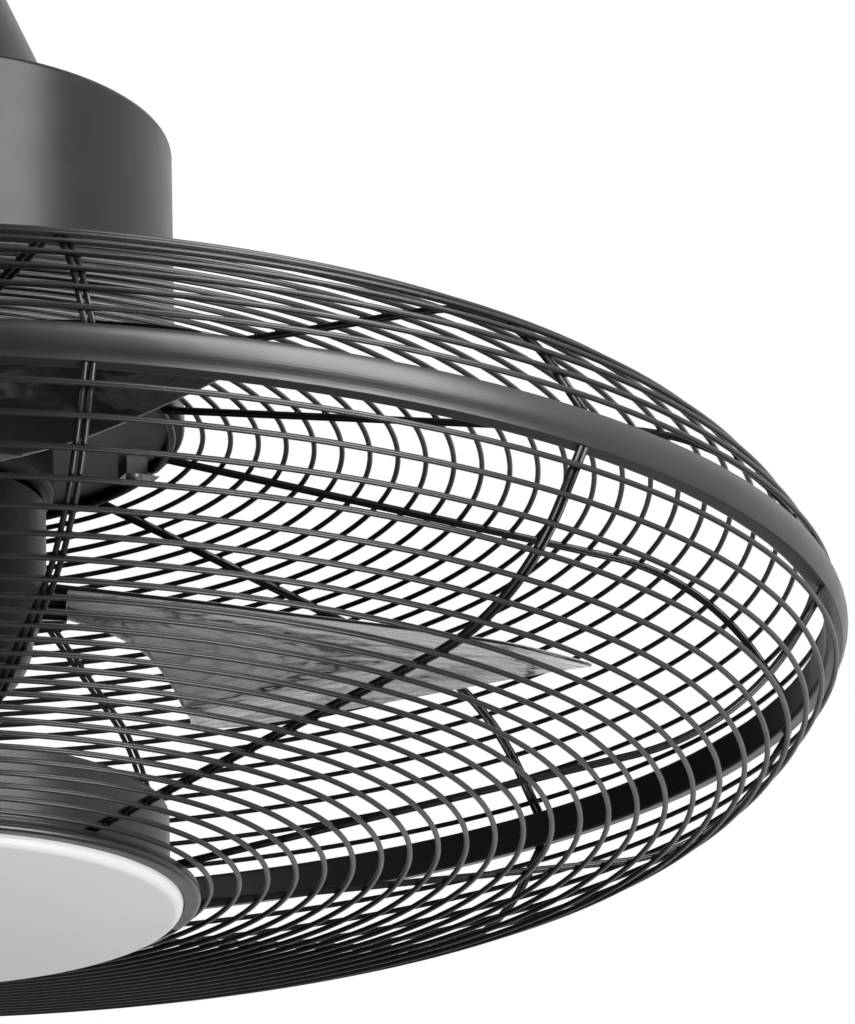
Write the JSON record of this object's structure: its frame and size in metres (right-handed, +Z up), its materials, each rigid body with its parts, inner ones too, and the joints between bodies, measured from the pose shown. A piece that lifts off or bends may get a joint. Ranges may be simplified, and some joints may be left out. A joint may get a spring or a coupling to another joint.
{
  "type": "caged ceiling fan with light",
  "caption": "Saucer-shaped wire cage round a bladed rotor, hung from a downrod and canopy under a motor drum, with a round opal light below the rotor.",
  "frame": {"origin": "centre of the ceiling screw holes, on the ceiling face of the hanger bracket", "axes": "+Z up into the ceiling along the fan's spin axis; -Y is the side seen in the picture"},
  "size_m": [0.7599, 0.76, 0.628],
  "materials": {
    "black_coat": "satin powder coat",
    "cage_coat": "satin powder coat",
    "lamp_coat": "satin powder coat",
    "zinc_steel": "zinc plated",
    "bright_steel": "ground",
    "core_steel": "laminated",
    "magnet": "plain",
    "winding": "enamelled copper",
    "black_rubber": "matte",
    "black_gloss": "gloss",
    "white_case": "matte",
    "black_case": "matte",
    "white_board": "solder mask",
    "lamp_chip": "phosphor",
    "opal": "opal"
  },
  "bodies": {
    "mount": {"hanger_bracket": "zinc_steel", "canopy": "black_coat", "canopy_screws": "black_coat"},
    "fan_body": {"hanger_ball": "zinc_steel", "ball_pin": "zinc_steel", "downrod": "black_coat", "rod_coupling": "zinc_steel", "coupling_pin": "zinc_steel", "coupling_screws": "zinc_steel", "cone_cover": "black_coat", "cone_grommet": "black_rubber", "motor_drum": "black_coat", "support_tube": "zinc_steel", "drum_pan": "black_coat", "pan_screws": "zinc_steel", "led_driver": "white_case", "speed_receiver": "black_case", "motor_cap": "black_coat", "motor_shaft": "bright_steel", "stator_core": "core_steel", "stator_windings": "winding", "upper_outer_rings": "cage_coat", "upper_inner_rings": "cage_coat", "upper_ribs": "cage_coat", "guard_clips": "zinc_steel", "equator_band": "cage_coat", "lower_outer_rings": "cage_coat", "lower_inner_rings": "cage_coat", "lower_ribs": "cage_coat", "light_stem": "black_coat", "light_housing": "lamp_coat", "shaft_nut": "zinc_steel", "led_board": "white_board", "leds": "lamp_chip", "trim_ring": "lamp_coat"},
    "rotor": {"rotor_can": "zinc_steel", "rotor_lid": "zinc_steel", "magnets": "magnet", "upper_bearing": "bright_steel", "lower_bearing": "bright_steel", "hub_core": "black_gloss", "clamp_ring": "zinc_steel", "hub_shell": "black_coat", "hub_nose": "black_coat", "blade_screws": "zinc_steel", "blade_1": "black_gloss", "blade_2": "black_gloss", "blade_3": "black_gloss"},
    "diffuser": {"diffuser": "opal"}
  },
  "joints": [
    {"name": "hanger_sway", "type": "hinge", "parent": "mount", "child": "fan_body", "pos_m": [0, 0, -0.032], "axis": [1, 0, 0], "range_deg": [-5, 5]},
    {"name": "fan_spin", "type": "hinge", "parent": "fan_body", "child": "rotor", "pos_m": [0, 0, -0.525], "axis": [0, 0, 1], "continuous": true},
    {"name": "diffuser_twist", "type": "hinge", "parent": "fan_body", "child": "diffuser", "pos_m": [0, 0, -0.525], "axis": [0, 0, 1], "range_deg": [0, 25]}
  ]
}
